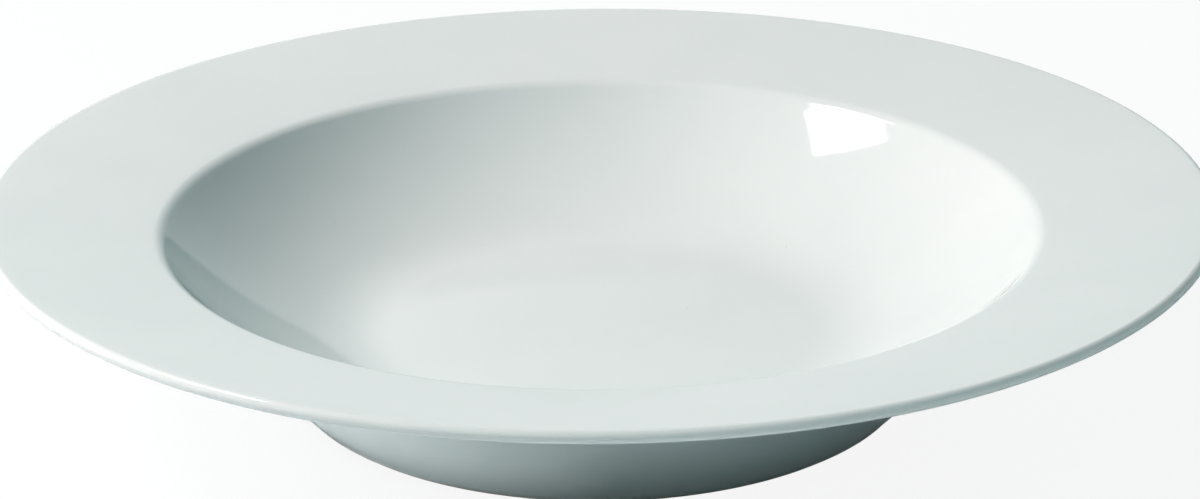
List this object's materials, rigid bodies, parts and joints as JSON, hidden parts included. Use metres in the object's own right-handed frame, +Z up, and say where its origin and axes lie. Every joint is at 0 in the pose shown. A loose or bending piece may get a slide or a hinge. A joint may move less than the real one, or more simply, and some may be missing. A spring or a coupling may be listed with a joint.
{
  "type": "deep rim plate",
  "caption": "Round deep plate of white glazed porcelain, with a wide sloping rim, a rounded well for soup or pasta, and a flat bare foot ring to stand on.",
  "frame": {"origin": "centre of the foot ring, on the surface that the plate stands on", "axes": "+Z up along the plate's axis of rotation; X and Y lie on the table, and the picture looks along +Y"},
  "size_m": [0.24, 0.24, 0.0405],
  "materials": {
    "porcelain": "fired porcelain, covered by the glaze",
    "bare_porcelain": "matt fired porcelain, ground flat underneath",
    "glaze": "clear glossy glaze over white"
  },
  "bodies": {
    "root": {"rim": "porcelain", "well_wall": "porcelain", "well_curve": "porcelain", "well_floor": "porcelain", "foot_ring": "bare_porcelain", "upper_glaze": "glaze", "lower_glaze": "glaze", "base_glaze": "glaze"}
  },
  "joints": []
}
